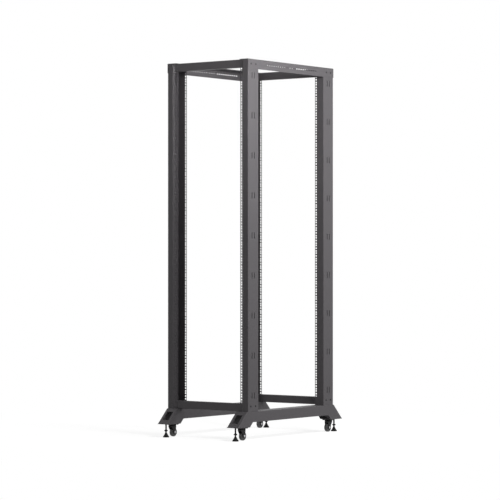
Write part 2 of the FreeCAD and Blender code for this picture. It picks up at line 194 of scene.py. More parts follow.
class FoldedLine:
    """Line through corners whose bends are eased to arcs, measured by the length along it.

    A flat runs straight from one arc to the next.  On an arc the heading turns evenly, so the
    place is the start of the arc plus the integral of the heading.
    """

    def __init__(self, corners, left_radius, right_radius, arc_steps=4):
        corners = np.asarray(corners, float)
        leg = np.diff(corners, axis=0)
        reach = np.hypot(leg[:, 0], leg[:, 1])
        heading = np.arctan2(leg[:, 1], leg[:, 0])
        turn = (np.diff(heading) + np.pi) % (2 * np.pi) - np.pi
        radius = np.where(turn > 0, left_radius, right_radius)
        eased = np.concatenate([[0.0], radius * np.tan(np.abs(turn) / 2), [0.0]])
        count = 2 * len(reach) - 1
        span = np.zeros(count)
        span[0::2] = reach - eased[:-1] - eased[1:]
        span[1::2] = radius * np.abs(turn)
        self.curve = np.zeros(count)
        self.curve[1::2] = np.sign(turn) / radius
        self.heading = np.zeros(count)
        self.heading[0::2] = heading
        self.heading[1::2] = heading[:-1]
        way = np.stack([np.cos(heading), np.sin(heading)], axis=-1)
        self.start = np.zeros((count, 2))
        self.start[0::2] = corners[:-1] + way * eased[:-1, None]
        self.start[1::2] = corners[1:-1] - way[:-1] * eased[1:-1, None]
        self.edge = np.concatenate([[0.0], np.cumsum(span)])
        self.length = self.edge[-1]
        share = np.arange(arc_steps) / arc_steps
        inner = (self.edge[1:-1:2, None] + span[1::2, None] * share).ravel()
        self.marks = np.concatenate([self.edge, inner])

    def at(self, along):
        """Places and headings at lengths along the line."""
        along = np.clip(along, 0, self.length)
        part = np.clip(np.searchsorted(self.edge, along, side="right") - 1, 0, len(self.curve) - 1)
        run = along - self.edge[part]
        angle = self.curve[part] * run
        heading = self.heading[part]
        chord = run * np.sinc(angle / (2 * np.pi))
        middle = heading + angle / 2
        place = self.start[part] + np.stack([np.cos(middle), np.sin(middle)], axis=-1) * chord[..., None]
        return place, heading + angle


def grid_lines(*groups):
    """Sorted parameters of a grid from several groups, without repeats."""
    return np.unique(np.round(np.concatenate([np.ravel(group) for group in groups]), 6))


def round_lines(middle, radius, steps=6):
    """Parameters across a round hole or slot, spaced evenly round its arc."""
    return middle + radius * np.cos(np.linspace(0, np.pi, steps + 1))


def draw_in(long, short, long_middle, short_middle, size, width):
    """Draw grid points toward a slot's middle so that its ends are half circles.

    Across the slot the half length shrinks from its full value at the middle line by the
    radius less the height of the half circle there.
    """
    radius = width / 2
    off = np.abs(short - short_middle)
    inside = (off <= radius + SAME_POINT) & (np.abs(long - long_middle) <= size / 2 + SAME_POINT)
    arc = np.sqrt(np.clip(radius ** 2 - off ** 2, 0, None))
    factor = (size / 2 - radius + arc) / (size / 2)
    return np.where(inside, long_middle + (long - long_middle) * factor, long)


def cell_middles(lines):
    """Middle of every gap between grid lines."""
    return (lines[:-1] + lines[1:]) / 2


def near(values, middles, half):
    """Which values lie within half of any of the middles."""
    return (np.abs(values[:, None] - np.ravel(middles)[None, :]) < half).any(axis=1)


def openings(first, middles, half, second, other_middles, other_half):
    """Cells between two sets of grid lines that lie within half of a middle in both directions."""
    rows = near(cell_middles(first), middles, half)
    columns = near(cell_middles(second), other_middles, other_half)
    return rows[:, None] & columns[None, :]


def cell_corners(rows, columns):
    """Numbers of the four corners of every cell of a grid."""
    index = np.arange(rows * columns).reshape(rows, columns)
    around = [index[:-1, :-1], index[1:, :-1], index[1:, 1:], index[:-1, 1:]]
    return np.stack(around, axis=-1)


def flat_normals(points, faces):
    """Unit normal of every face from the cross product of its diagonals."""
    across = points[faces[:, 2]] - points[faces[:, 0]]
    other = points[faces[:, 3]] - points[faces[:, 1]]
    normal = np.cross(across, other)
    return normal / np.maximum(np.linalg.norm(normal, axis=1, keepdims=True), TINY)


def thick_sheet(outer, normal, keep, gauge):
    """Wall of sheet metal with holes.

    The outer skin is the given grid, and the inner skin is that grid moved against its normals
    by the gauge.  Cells that aren't kept are holes, and every free edge is closed by a strip.
    """
    rows, columns = outer.shape[:2]
    count = rows * columns
    points = np.concatenate([outer.reshape(-1, 3), (outer - gauge * normal).reshape(-1, 3)])
    upright = np.concatenate([normal.reshape(-1, 3), -normal.reshape(-1, 3)])
    cells = cell_corners(rows, columns)
    front = cells[keep]
    faces = [front, front[:, ::-1] + count]
    shading = [upright[front], upright[front[:, ::-1] + count]]
    padded = np.pad(keep, 1)
    beside = (padded[1:-1, :-2], padded[2:, 1:-1], padded[1:-1, 2:], padded[:-2, 1:-1])
    for turn, neighbour in enumerate(beside):
        free = keep & ~neighbour
        start = cells[..., turn][free]
        stop = cells[..., (turn + 1) % 4][free]
        strip = np.stack([stop, start, start + count, stop + count], axis=-1)
        faces.append(strip)
    strips = np.concatenate(faces[2:])
    lean = (flat_normals(points, front) * upright[front[:, 0]]).sum()
    sense = 1.0 if lean > 0 else -1.0
    shading.append(np.repeat(sense * flat_normals(points, strips)[:, None], 4, axis=1))
    faces = np.concatenate(faces)
    shading = np.concatenate(shading)
    if lean < 0:
        faces = faces[:, ::-1]
        shading = shading[:, ::-1]
    return points, faces, shading


def swept_sheet(outline, run, other, axis, keep, gauge):
    """Sheet of constant section: the outline lies square to an axis of the rack, run is the
    length along the outline and other the place along that axis."""
    place, heading = outline.at(run)
    parts = [place[..., 0], place[..., 1]]
    lean = [np.sin(heading), -np.cos(heading)]
    parts.insert(axis, other)
    lean.insert(axis, 0 * heading)
    return thick_sheet(np.stack(parts, axis=-1), np.stack(lean, axis=-1), keep, gauge)


def turned(radius, height, angles, axis="Z", place=(0, 0, 0)):
    """Surface of a profile swung round an axis.

    Rows follow the profile and columns the turn: a point lies at its radius times the cosine
    and sine of the angle, at its height along the axis.  Radii may differ from column to column.
    """
    radius = np.asarray(radius, float)
    if radius.ndim == 1:
        radius = radius[:, None]
    height = np.asarray(height, float)
    if height.ndim == 1:
        height = height[:, None]
    first = radius * np.cos(angles)
    second = radius * np.sin(angles)
    third = height + 0 * first
    order = {"Z": (first, second, third), "X": (third, first, second), "Y": (second, third, first)}
    points = np.stack(order[axis], axis=-1)
    rows, columns = points.shape[:2]
    faces = cell_corners(rows, columns).reshape(-1, 4)
    points = points.reshape(-1, 3)
    corner = points[faces]
    volume = (corner[:, 0] * np.cross(corner[:, 1], corner[:, 2])).sum()
    volume += (corner[:, 0] * np.cross(corner[:, 2], corner[:, 3])).sum()
    if volume < 0:
        faces = faces[:, ::-1]
    return points + np.asarray(place, float), faces


def full_turn(steps):
    """Angles of a full turn, the last on the first."""
    return np.linspace(0, 2 * np.pi, steps + 1)


def hexagon(flats, angles):
    """Radius of a hexagon at each angle: half its width across flats over the cosine of the
    angle from the nearest flat."""
    sixth = np.pi / 3
    return flats / 2 / np.cos((angles + sixth / 2) % sixth - sixth / 2)


def rounded_box_radius(half_x, half_y, corner, angles):
    """Radius at each angle of a rectangle with round corners: the larger of the flat sides'
    distance and the far crossing with the corner's circle."""
    c, s = np.abs(np.cos(angles)), np.abs(np.sin(angles))
    flat = np.minimum(half_x / np.maximum(c, TINY), half_y / np.maximum(s, TINY))
    mx, my = half_x - corner, half_y - corner
    along = mx * c + my * s
    gap = np.clip(corner ** 2 - (mx * mx + my * my - along ** 2), 0, None)
    on_corner = (flat * c > mx) & (flat * s > my)
    return np.where(on_corner, along + np.sqrt(gap), flat)


def joined(shells):
    """Several shells in one list of points and faces."""
    offset = 0
    points, faces = [], []
    for shell in shells:
        points.append(shell[0])
        faces.append(shell[1] + offset)
        offset += len(shell[0])
    return np.concatenate(points), np.concatenate(faces)


def mirrored(shell, x_sign=1, y_sign=1):
    """A shell on the chosen side of the rack, with its faces still outward."""
    sign = np.array([x_sign, y_sign, 1.0])
    moved = [shell[0] * sign, shell[1]]
    if len(shell) > 2:
        moved.append(shell[2] * sign)
    if x_sign * y_sign < 0:
        moved = [moved[0]] + [part[:, ::-1] for part in moved[1:]]
    return moved


def make_piece(name, shell, material, body, replaced=()):
    """Mesh object from a shell.  Points that coincide become one, which closes seams and poles,
    and a face with a repeated corner becomes a triangle."""
    points, faces = shell[0], shell[1]
    keys = np.round(points / SAME_POINT).astype(np.int64)
    _, first, where = np.unique(keys, axis=0, return_index=True, return_inverse=True)
    faces = where.ravel()[faces]
    fresh = faces != np.roll(faces, 1, axis=1)
    whole = fresh.sum(axis=1) >= 3
    faces, fresh = faces[whole], fresh[whole]
    total = fresh.sum(axis=1)
    mesh = bpy.data.meshes.new(name)
    mesh.vertices.add(len(first))
    mesh.vertices.foreach_set("co", points[first].astype(np.float32).ravel())
    mesh.loops.add(int(total.sum()))
    mesh.loops.foreach_set("vertex_index", faces[fresh].astype(np.int32))
    mesh.polygons.add(len(faces))
    mesh.polygons.foreach_set("loop_start", (np.cumsum(total) - total).astype(np.int32))
    mesh.polygons.foreach_set("use_smooth", np.ones(len(faces), bool))
    mesh.update(calc_edges=True)
    if len(shell) > 2:
        mesh.normals_split_custom_set(shell[2][whole][fresh].astype(np.float32))
    else:
        mesh.set_sharp_from_angle(angle=SMOOTH_ANGLE)
    mesh.materials.append(material)
    piece = bpy.data.objects.new(name, mesh)
    bpy.context.scene.collection.objects.link(piece)
    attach(piece, body)
    if replaced:
        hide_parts(*replaced)
    return piece


def node_box(name):
    """Lowest and highest corner of a CAD node."""
    return [np.array(corner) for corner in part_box(name)]


def reach(name):
    """Box of a CAD node, mirrored into the right rear quarter where it lies to one side."""
    low, high = node_box(name)
    for axis in (0, 1):
        if high[axis] < 0:
            low[axis], high[axis] = -high[axis], -low[axis]
    return low, high


# ---------------------------------------------------------------- finishes


def new_group(name, inputs, outputs):
    """Empty shader node group with named sockets."""
    group = bpy.data.node_groups.new(name, "ShaderNodeTree")
    for label, kind, default in inputs:
        socket = group.interface.new_socket(label, in_out="INPUT", socket_type=kind)
        if default is not None:
            socket.default_value = default
    for label, kind in outputs:
        group.interface.new_socket(label, in_out="OUTPUT", socket_type=kind)
    return group, group.nodes.new("NodeGroupInput"), group.nodes.new("NodeGroupOutput")


def blank_tree(owner):
    """Empty node tree of a material or a world."""
    owner.use_nodes = True
    owner.node_tree.nodes.clear()
    return owner.node_tree


def node(tree, kind, **values):
    """A node with its properties and input values set.

    A value that is a socket is wired to the input, and an underscore stands for a space.
    """
    made = tree.nodes.new(kind)
    for key, value in values.items():
        if hasattr(made, key):
            setattr(made, key, value)
        else:
            feed(tree, value, made.inputs[key.replace("_", " ")])
    return made


def feed(tree, value, target):
    """Give an input a plain value, or wire it to a socket."""
    if isinstance(value, bpy.types.NodeSocket):
        tree.links.new(value, target)
    else:
        target.default_value = value


def maths(tree, operation, first, second):
    """Arithmetic on two values, each a socket or a number."""
    made = node(tree, "ShaderNodeMath", operation=operation)
    feed(tree, first, made.inputs[0])
    feed(tree, second, made.inputs[1])
    return made.outputs[0]


def grain_group():
    """Fine sandy grain of a sprayed or moulded surface: the sum of two noises."""
    if "sandy_grain" in bpy.data.node_groups:
        return bpy.data.node_groups["sandy_grain"]
    group, start, stop = new_group(
        "sandy_grain",
        [("Vector", "NodeSocketVector", None), ("Scale", "NodeSocketFloat", 900.0)],
        [("Height", "NodeSocketFloat")],
    )
    where, scale = start.outputs["Vector"], start.outputs["Scale"]
    fine = node(group, "ShaderNodeTexNoise", Vector=where, Scale=scale, Detail=3.0, Roughness=0.6)
    broad_scale = maths(group, "MULTIPLY", scale, 0.22)
    broad = node(group, "ShaderNodeTexNoise", Vector=where, Scale=broad_scale, Detail=1.0, Roughness=0.5)
    swell = maths(group, "MULTIPLY", broad.outputs["Fac"], 0.6)
    feed(group, maths(group, "ADD", fine.outputs["Fac"], swell), stop.inputs["Height"])
    return group


def drift_group():
    """Slow drift of a finish: a colour a little lighter and darker from place to place, and a
    roughness that follows it."""
    if "finish_drift" in bpy.data.node_groups:
        return bpy.data.node_groups["finish_drift"]
    group, start, stop = new_group(
        "finish_drift",
        [
            ("Vector", "NodeSocketVector", None),
            ("Color", "NodeSocketColor", (0.5, 0.5, 0.5, 1.0)),
            ("Scale", "NodeSocketFloat", 4.0),
            ("Amount", "NodeSocketFloat", 0.08),
            ("Roughness", "NodeSocketFloat", 0.5),
            ("Spread", "NodeSocketFloat", 0.08),
        ],
        [("Color", "NodeSocketColor"), ("Roughness", "NodeSocketFloat")],
    )
    noise = node(group, "ShaderNodeTexNoise", Vector=start.outputs["Vector"],
                 Scale=start.outputs["Scale"], Detail=4.0, Roughness=0.55)
    swing = maths(group, "MULTIPLY", maths(group, "SUBTRACT", noise.outputs["Fac"], 0.5), 2.0)
    gain = maths(group, "ADD", maths(group, "MULTIPLY", swing, start.outputs["Amount"]), 1.0)
    tone = node(group, "ShaderNodeVectorMath", operation="SCALE", Vector=start.outputs["Color"], Scale=gain)
    feed(group, tone.outputs[0], stop.inputs["Color"])
    rough = maths(group, "MULTIPLY", swing, start.outputs["Spread"])
    feed(group, maths(group, "ADD", rough, start.outputs["Roughness"]), stop.inputs["Roughness"])
    return group


def finish(name, colour_name, roughness, grain, grain_depth, drift, specular=0.5, metallic=0.0):
    """Material of one finish: a colour of the panel, its drift, and grain as bump.

    The grain is a scale in waves a metre and its depth is in metres.
    """
    if name in bpy.data.materials:
        return bpy.data.materials[name]
    material = bpy.data.materials.new(name)
    tree = blank_tree(material)
    where = tree.nodes.new("ShaderNodeTexCoord").outputs["Object"]
    tint = getattr(bpy.context.scene.rack_finish, colour_name)
    tone = node(tree, "ShaderNodeGroup", node_tree=drift_group(), Vector=where, Color=(*tint, 1.0),
                Amount=drift, Roughness=roughness)
    sand = node(tree, "ShaderNodeGroup", node_tree=grain_group(), Vector=where, Scale=grain)
    bump = node(tree, "ShaderNodeBump", Distance=grain_depth, Strength=0.5, Height=sand.outputs["Height"])
    shader = node(tree, "ShaderNodeBsdfPrincipled", Metallic=metallic, Specular_IOR_Level=specular,
                  Base_Color=tone.outputs["Color"], Roughness=tone.outputs["Roughness"],
                  Normal=bump.outputs["Normal"])
    node(tree, "ShaderNodeOutputMaterial", Surface=shader.outputs[0])
    return material


def powder_coat():
    """Dark grey powder coat of the posts, beams and runners."""
    return finish("powder_coat", "coat", roughness=0.45, grain=1300.0, grain_depth=0.00005, drift=0.05,
                  specular=0.18)


def zinc_plate():
    """Bright zinc of the axles and their nuts."""
    return finish("zinc_plate", "zinc", roughness=0.38, grain=2500.0, grain_depth=0.00002, drift=0.12,
                  metallic=0.9)


def blackened_steel():
    """Blackened steel of the forks, the castor plates, the studs and the screws."""
    return finish("blackened_steel", "fork", roughness=0.45, grain=1800.0, grain_depth=0.00003,
                  drift=0.10, specular=0.12)


def wheel_polymer():
    """Black moulded polymer of the castor wheels."""
    return finish("wheel_polymer", "tread", roughness=0.45, grain=2200.0, grain_depth=0.00004,
                  drift=0.15, specular=0.08)


def black_pad():
    """Black moulded levelling pad."""
    return finish("black_pad", "pad", roughness=0.50, grain=2000.0, grain_depth=0.00004, drift=0.12,
                  specular=0.12)


# ---------------------------------------------------------------- pieces of the rack


def post_shell(node_name, sizes):
    """Folded post of the right rear quarter, open toward the rack's middle.

    The length along the folded outline is one parameter and the height the other.
    """
    low, high = reach(node_name)
    strip = high[0] - sizes.face_strip
    rail = strip - sizes.joggle_run
    back = high[1] - sizes.rail_recess
    outline = FoldedLine(
        [(low[0], low[1]), (high[0], low[1]), (high[0], high[1]), (strip, high[1]), (rail, back),
         (low[0], back)],
        sizes.fold_radius, sizes.fold_radius - sizes.post_gauge)
    unit = sizes.unit_height
    columns = np.array([sizes.hole_inset, outline.length - sizes.hole_inset])
    units = low[2] + unit * np.arange(1, sizes.unit_count + 1)
    steps = sizes.hole_first + sizes.hole_step * np.arange(3)
    holes = (units[:, None] + steps).ravel()
    half = sizes.rail_hole / 2
    side_middle = (outline.edge[2] + outline.edge[3]) / 2
    slots = side_middle + sizes.side_slot_gap * np.array([-0.5, 0.5])
    levels = np.arange(sizes.side_slot_pairs) * sizes.side_slot_units + sizes.side_slot_start
    levels = low[2] + unit * levels
    tall = sizes.side_slot_height / 2
    wide = sizes.side_slot_width / 2
    across = grid_lines(outline.marks, columns - half, columns + half,
                        *[round_lines(slot, wide) for slot in slots])
    up = grid_lines([low[2], high[2]], holes - half, holes + half, levels - tall, levels + tall)
    punched = openings(across, columns, half, up, holes, half)
    slotted = openings(across, slots, wide, up, levels, tall)
    along, rise = np.meshgrid(across, up, indexing="ij")
    for slot in slots:
        for level in levels:
            rise = draw_in(rise, along, level, slot, 2 * tall, 2 * wide)
    return swept_sheet(outline, along, rise, 2, ~(punched | slotted), sizes.post_gauge)


def cross_beam_shell(node_name, sizes):
    """Beam between the posts, folded round to a box with its seam at the inner lower edge, for
    the rear of the rack."""
    low, high = reach(node_name)
    seam_gap = 0.25 * sizes.beam_gauge
    seam = low[1] + sizes.beam_gauge + seam_gap
    outline = FoldedLine(
        [(seam, low[2]), (high[1], low[2]), (high[1], high[2]), (low[1], high[2]), (low[1], low[2])],
        sizes.fold_radius, sizes.fold_radius)
    along, across = np.meshgrid(grid_lines(outline.marks), np.array([low[0], high[0]]), indexing="ij")
    keep = np.ones((along.shape[0] - 1, 1), bool)
    return swept_sheet(outline, along, across, 0, keep, sizes.beam_gauge)


def post_screw_places(hardware):
    """Places along the rack's depth of the two screws in each post."""
    low, high = reach("post_rear_right")
    post = (low[1] + high[1]) / 2
    spread = hardware.screw_spread / 2
    return np.array([-post - spread, -post + spread, post - spread, post + spread])


def tie_slot_middles(sizes):
    """Places along a side beam of its three groups of slots."""
    pitch = sizes.tie_slot_pitch
    outer_group = sizes.tie_slot_start + pitch * np.arange(sizes.tie_slot_outer)
    inner_group = pitch * (np.arange(sizes.tie_slot_middle) - (sizes.tie_slot_middle - 1) / 2)
    return np.concatenate([-outer_group[::-1], inner_group, outer_group])


def slotted_sheet(outline, web, ends, slots, screws, hole, sizes, gauge):
    """Sheet along the rack's depth with slots and round screw holes in a row on its web.

    The row lies at the length web along the outline, and hole is the radius of a screw hole.
    """
    wide, tall = sizes.tie_slot_length / 2, sizes.tie_slot_height / 2
    up = grid_lines(outline.marks, round_lines(web, tall), [web - hole, web + hole])
    along = grid_lines(ends, slots - wide, slots + wide,
                       *[round_lines(screw, hole, 12) for screw in screws])
    slotted = openings(up, web, tall, along, slots, wide)
    drilled = openings(up, web, hole, along, screws, hole)
    run, depth = np.meshgrid(up, along, indexing="ij")
    for slot in slots:
        depth = draw_in(depth, run, slot, web, 2 * wide, 2 * tall)
    for screw in screws:
        run = draw_in(run, depth, web, screw, 2 * hole, 2 * hole)
    return swept_sheet(outline, run, depth, 1, ~(slotted | drilled), gauge)


def side_beam_shell(node_name, sizes, hardware):
    """Folded angle over the posts of the right side with its tie slots and screw holes."""
    low, high = reach(node_name)
    outline = FoldedLine([(high[0], low[2]), (high[0], high[2]), (low[0], high[2])],
                         sizes.fold_radius, sizes.fold_radius)
    web = (high[2] - low[2]) / 2
    hole = hardware.screw_radius + SCREW_GAP
    return slotted_sheet(outline, web, [low[1], high[1]], tie_slot_middles(sizes),
                         post_screw_places(hardware), hole, sizes, sizes.beam_gauge)


def slide_shell(node_name, sizes):
    """Flat slide behind the front of a side beam, with its slots half a pitch from the beam's."""
    low, high = reach(node_name)
    face = high[0] - sizes.beam_gauge - sizes.slide_gap
    clear = 2 * sizes.beam_gauge
    outline = FoldedLine([(face, low[2] + clear), (face, high[2] - clear)], 0, 0)
    front = 2 * sizes.slide_gauge - reach("post_rear_right")[0][1]
    rear = front + sizes.slide_length
    slots = tie_slot_middles(sizes) - sizes.tie_slot_pitch / 2
    margin = sizes.tie_slot_length
    slots = slots[(slots > front + margin) & (slots < rear - margin)]
    return slotted_sheet(outline, outline.length / 2, [front, rear], slots, [], 0, sizes,
                         sizes.slide_gauge)


def runner_shell(node_name, sizes):
    """Inverted channel of the right side, bent down at both ends into feet with a window.

    One parameter runs round the channel's section, from one wall's edge over the top to the
    other, and the other along the bent top line.  A wall's points keep their share of the
    height between its lower edge and the fold.
    """
    low, high = reach(node_name)
    radius = sizes.fold_radius
    toe_radius = radius / 2
    section = FoldedLine(
        [(high[0], low[2]), (high[0], high[2]), (low[0], high[2]), (low[0], low[2])],
        radius, radius)
    tip = high[1]
    blunt = low[2] + radius
    slope = (high[2] - low[2]) / sizes.foot_slope
    heel = tip - (blunt - low[2]) / slope
    bend = tip - sizes.foot_slope
    top_line = FoldedLine(
        [(-tip, blunt), (-heel, blunt), (-bend, high[2]), (bend, high[2]), (heel, blunt), (tip, blunt)],
        toe_radius, sizes.bend_radius)
    samples = 4001
    sample = np.linspace(0, top_line.length, samples)
    sample_y = top_line.at(sample)[0][:, 0]
    back = tip - sizes.foot_length
    window = np.array([tip - (height - low[2]) / slope for height in (sizes.window_low, sizes.window_high)])
    y_marks = np.concatenate([window, [back, back - sizes.foot_chamfer]])
    length_marks = np.interp(np.concatenate([-y_marks, y_marks]), sample_y, sample)
    along = grid_lines(top_line.marks, length_marks)
    middle = section.length / 2
    half = sizes.window_width / 2
    round_it = grid_lines(section.marks, [middle - half, middle + half])
    across_window = near(cell_middles(round_it), middle, half)
    at_y = np.abs(top_line.at(cell_middles(along))[0][:, 0])
    along_window = near(at_y, window.mean(), np.ptp(window) / 2)
    opened = across_window[:, None] & along_window[None, :]
    turn, run = np.meshgrid(round_it, along, indexing="ij")
    place, heading = section.at(turn)
    top, pitch = top_line.at(run)
    edge = np.interp(np.abs(top[..., 0]), [back - sizes.foot_chamfer, back], [sizes.runner_low, low[2]])
    share = np.clip((place[..., 1] - low[2]) / (high[2] - radius - low[2]), 0, 1)
    over = np.clip(place[..., 1] - (high[2] - radius), 0, None)
    height = edge + share * (top[..., 1] - radius - edge) + over
    outer = np.stack([place[..., 0], top[..., 0], height], axis=-1)
    lift = -np.cos(heading)
    normal = np.stack([np.sin(heading), -lift * np.sin(pitch), lift * np.cos(pitch)], axis=-1)
    return thick_sheet(outer, normal, ~opened, sizes.runner_gauge)


def thread_shell(place, low, high, radius, pitch):
    """Threaded stud: the radius falls and rises once for each pitch climbed, and the ridge
    shifts by one pitch for each turn."""
    angles = full_turn(18)
    rows_per_turn = 4
    depth = 0.6 * pitch
    core = radius - depth
    rise = np.linspace(low, high, int((high - low) / pitch * rows_per_turn) + 1)
    phase = (rise[:, None] / pitch - angles[None, :] / (2 * np.pi)) % 1.0
    ridge = radius - depth * np.abs(2 * phase - 1)
    ridge[0] = core
    ridge[-1] = core
    pole = np.zeros((1, len(angles)))
    radii = np.concatenate([pole, ridge, pole])
    heights = np.concatenate([[low], rise, [high + 0.4 * pitch]])
    return turned(radii, heights, angles, place=place)


def nut_shell(flats, height, place, axis="Z", steps=36):
    """Hexagon nut: the hexagon's radius, cut at both ends by a cone that starts just inside
    its corners."""
    angles = full_turn(steps)
    side = hexagon(flats, angles)[None, :]
    corner = flats / math.sqrt(3)
    face = 0.47 * flats
    middle = 0.52 * flats
    bevel = 0.6 * (corner - face)
    rise = bevel * np.array([0, 0, 0.35, 1.0])
    cone = np.array([0, face, middle, corner])
    rows = np.concatenate([rise, height - rise[::-1]])
    cone = np.concatenate([cone, cone[::-1]])
    return turned(np.minimum(side, cone[:, None]), rows, angles, axis, place)


def levelling_foot_shells(node_name, hardware):
    """Flared pad, threaded stud and lock nut of one levelling foot."""
    low, high = node_box(node_name)
    centre = np.array([(low[0] + high[0]) / 2, (low[1] + high[1]) / 2, low[2]])
    rim = (high[0] - low[0]) / 2
    rim_top = hardware.pad_rim
    neck, top = hardware.pad_neck, hardware.pad_height
    edge = 0.0008
    stud_top = high[2] - low[2] - 0.0006
    stud_sink = 0.001
    share = np.linspace(0, 1, 9)
    flare_r = neck + (rim - edge - neck) * (1 - share) ** 1.25
    flare_z = rim_top + edge + (top - rim_top - edge) * share
    radii = np.concatenate([[0, rim - edge, rim, rim, rim - 0.3 * edge], flare_r, [0.9 * neck, 0]])
    heights = np.concatenate([[0, 0, edge, rim_top, rim_top + 0.7 * edge], flare_z, [top + edge] * 2])
    pad = turned(radii, heights, full_turn(40), place=centre)
    stud = thread_shell(centre, top - stud_sink, stud_top, hardware.stud_radius, hardware.thread_pitch)
    nut_place = centre + np.array([0, 0, hardware.nut_level])
    nut = nut_shell(hardware.nut_flats, hardware.nut_height, nut_place)
    return pad, stud, nut


class CastorPlaces:
    """Plate, swivel, wheel and upper level of one castor, from the CAD pieces."""

    def __init__(self, corner):
        self.plate_low, self.plate_high = node_box("castor_plate_" + corner)
        wheel_low, wheel_high = node_box("castor_wheel_" + corner)
        self.swivel = (self.plate_low + self.plate_high) / 2
        self.wheel = (wheel_low + wheel_high) / 2
        self.wheel_half = (wheel_high - wheel_low) / 2
        self.top = node_box("castor_fork_" + corner)[1][2]


def castor_plate_shells(castor):
    """Top plate with round corners and four bolts under it."""
    low, high = castor.plate_low[2], castor.plate_high[2]
    half = (castor.plate_high - castor.plate_low) / 2
    across, along = castor.swivel[:2]
    edge = 0.0006
    corner_radius = 0.006
    bolt_inset = 0.0075
    bolt_flats, bolt_height, bolt_low = 0.010, 0.0036, low - 0.0035
    angles = full_turn(72)
    outline = rounded_box_radius(half[0], half[1], corner_radius, angles)[None, :]
    rim = 1 - edge / half[0]
    share = np.array([0, rim, 1, 1, rim, 0])[:, None]
    heights = [low, low, low + edge, high - edge, high, high]
    shells = [turned(share * outline, heights, angles, place=(across, along, 0))]
    for x in (-1, 1):
        for y in (-1, 1):
            spot = (across + x * (half[0] - bolt_inset), along + y * (half[1] - bolt_inset), bolt_low)
            shells.append(nut_shell(bolt_flats, bolt_height, spot, steps=24))
    return shells


def fork_leg_width(height, axle, shoulder, top_half, bottom_half):
    """Half width of the fork at a height: straight between its shoulder and its axle, and round
    below the axle."""
    share = np.clip((height - axle) / (shoulder - axle), 0, 1)
    straight = bottom_half + share * (top_half - bottom_half)
    below = np.sqrt(np.clip(bottom_half ** 2 - (height - axle) ** 2, 0, None))
    return np.where(height < axle, below, straight)


def castor_fork_shells(castor, hardware):
    """Pressed fork, swivel bearing and king pin of one castor.

    The fork is a sheet whose middle line goes up one leg, over the crown and down the other,
    and whose width and middle shift toward the axle as the leg goes down.
    """
    swivel, wheel, top = castor.swivel, castor.wheel, castor.top
    crown = top - hardware.head_height
    gauge = hardware.fork_gauge
    half_gap = hardware.fork_gap / 2 + gauge
    boss = 2 * hardware.axle_radius
    axle = wheel[2]
    foot = axle - boss
    shoulder = crown - 0.007
    crown_radius = 0.0045
    line = FoldedLine([(half_gap, foot), (half_gap, crown), (-half_gap, crown), (-half_gap, foot)],
                      crown_radius, crown_radius, arc_steps=5)
    leg = boss * (1 - np.cos(np.linspace(0, np.pi / 2, 7)))
    drop = np.concatenate([leg, line.length - leg, [shoulder - foot, line.length - shoulder + foot]])
    over_crown = np.linspace(line.marks[2], line.marks[3], 9)
    along = grid_lines(line.marks, drop, over_crown)
    side = np.linspace(-1, 1, 9)
    run, off = np.meshgrid(along, side, indexing="ij")
    place, heading = line.at(run)
    x, z = place[..., 0], place[..., 1]
    head = hardware.head_radius
    crown_half = np.sqrt(np.clip(head ** 2 - np.minimum(np.abs(x), half_gap) ** 2, 0, None))
    half = fork_leg_width(z, axle, shoulder, crown_half, boss)
    half = np.where(z > shoulder, crown_half, half)
    shift = np.interp(z, [axle, shoulder], [1.0, 0.0]) * (wheel[1] - swivel[1])
    points = np.stack([swivel[0] + x, swivel[1] + shift + off * half, z], axis=-1)
    normal = np.stack([np.sin(heading), 0 * heading, -np.cos(heading)], axis=-1)
    keep = np.ones((len(along) - 1, len(side) - 1), bool)
    yoke = thick_sheet(points, normal, keep, gauge)[:2]
    spot = (swivel[0], swivel[1], 0)
    return yoke, bearing_shell(head, crown, top, spot), king_pin_shell(crown, spot)


def bearing_shell(radius, low, high, spot):
    """Swivel bearing: two rounded races with a groove between them."""
    bead = 0.0022
    lip, rise = 0.0006, 0.0016
    seam, groove = 0.0008, 0.0004
    middle = (low + high) / 2
    inner, outer = radius - bead, radius - 0.3 * bead
    radii = [0, inner, outer, radius, outer, inner, radius - 1.4 * bead,
             inner, outer, radius - 0.1 * bead, outer, inner, 0]
    heights = [low, low, low + lip, low + rise, middle - seam, middle - groove, middle,
               middle + groove, middle + seam, high - rise, high - lip, high, high]
    return turned(radii, heights, full_turn(48), place=spot)


def king_pin_shell(crown, spot):
    """Domed head of the king pin under the crown."""
    radius = 0.0045
    drops = np.array([0.0052, 0.0050, 0.0040, 0.0020, 0.0020])
    return turned([0, 0.6 * radius, radius, radius, 0], crown - drops, full_turn(20), place=spot)


def axle_shells(castor, hardware):
    """Axle bolt with a head on one leg and a nut on the other."""
    wheel = castor.wheel
    end = hardware.fork_gap / 2 + hardware.fork_gauge
    radius = hardware.axle_radius
    rod = turned([0, radius, radius, 0], [-end, -end, end, end], full_turn(24), "X", wheel)
    flats = 3.0 * radius
    thick = 0.9 * radius
    outer = nut_shell(flats, thick, wheel + np.array([end, 0, 0]), "X", 24)
    inner = nut_shell(flats, thick, wheel - np.array([end + thick, 0, 0]), "X", 24)
    return rod, outer, inner


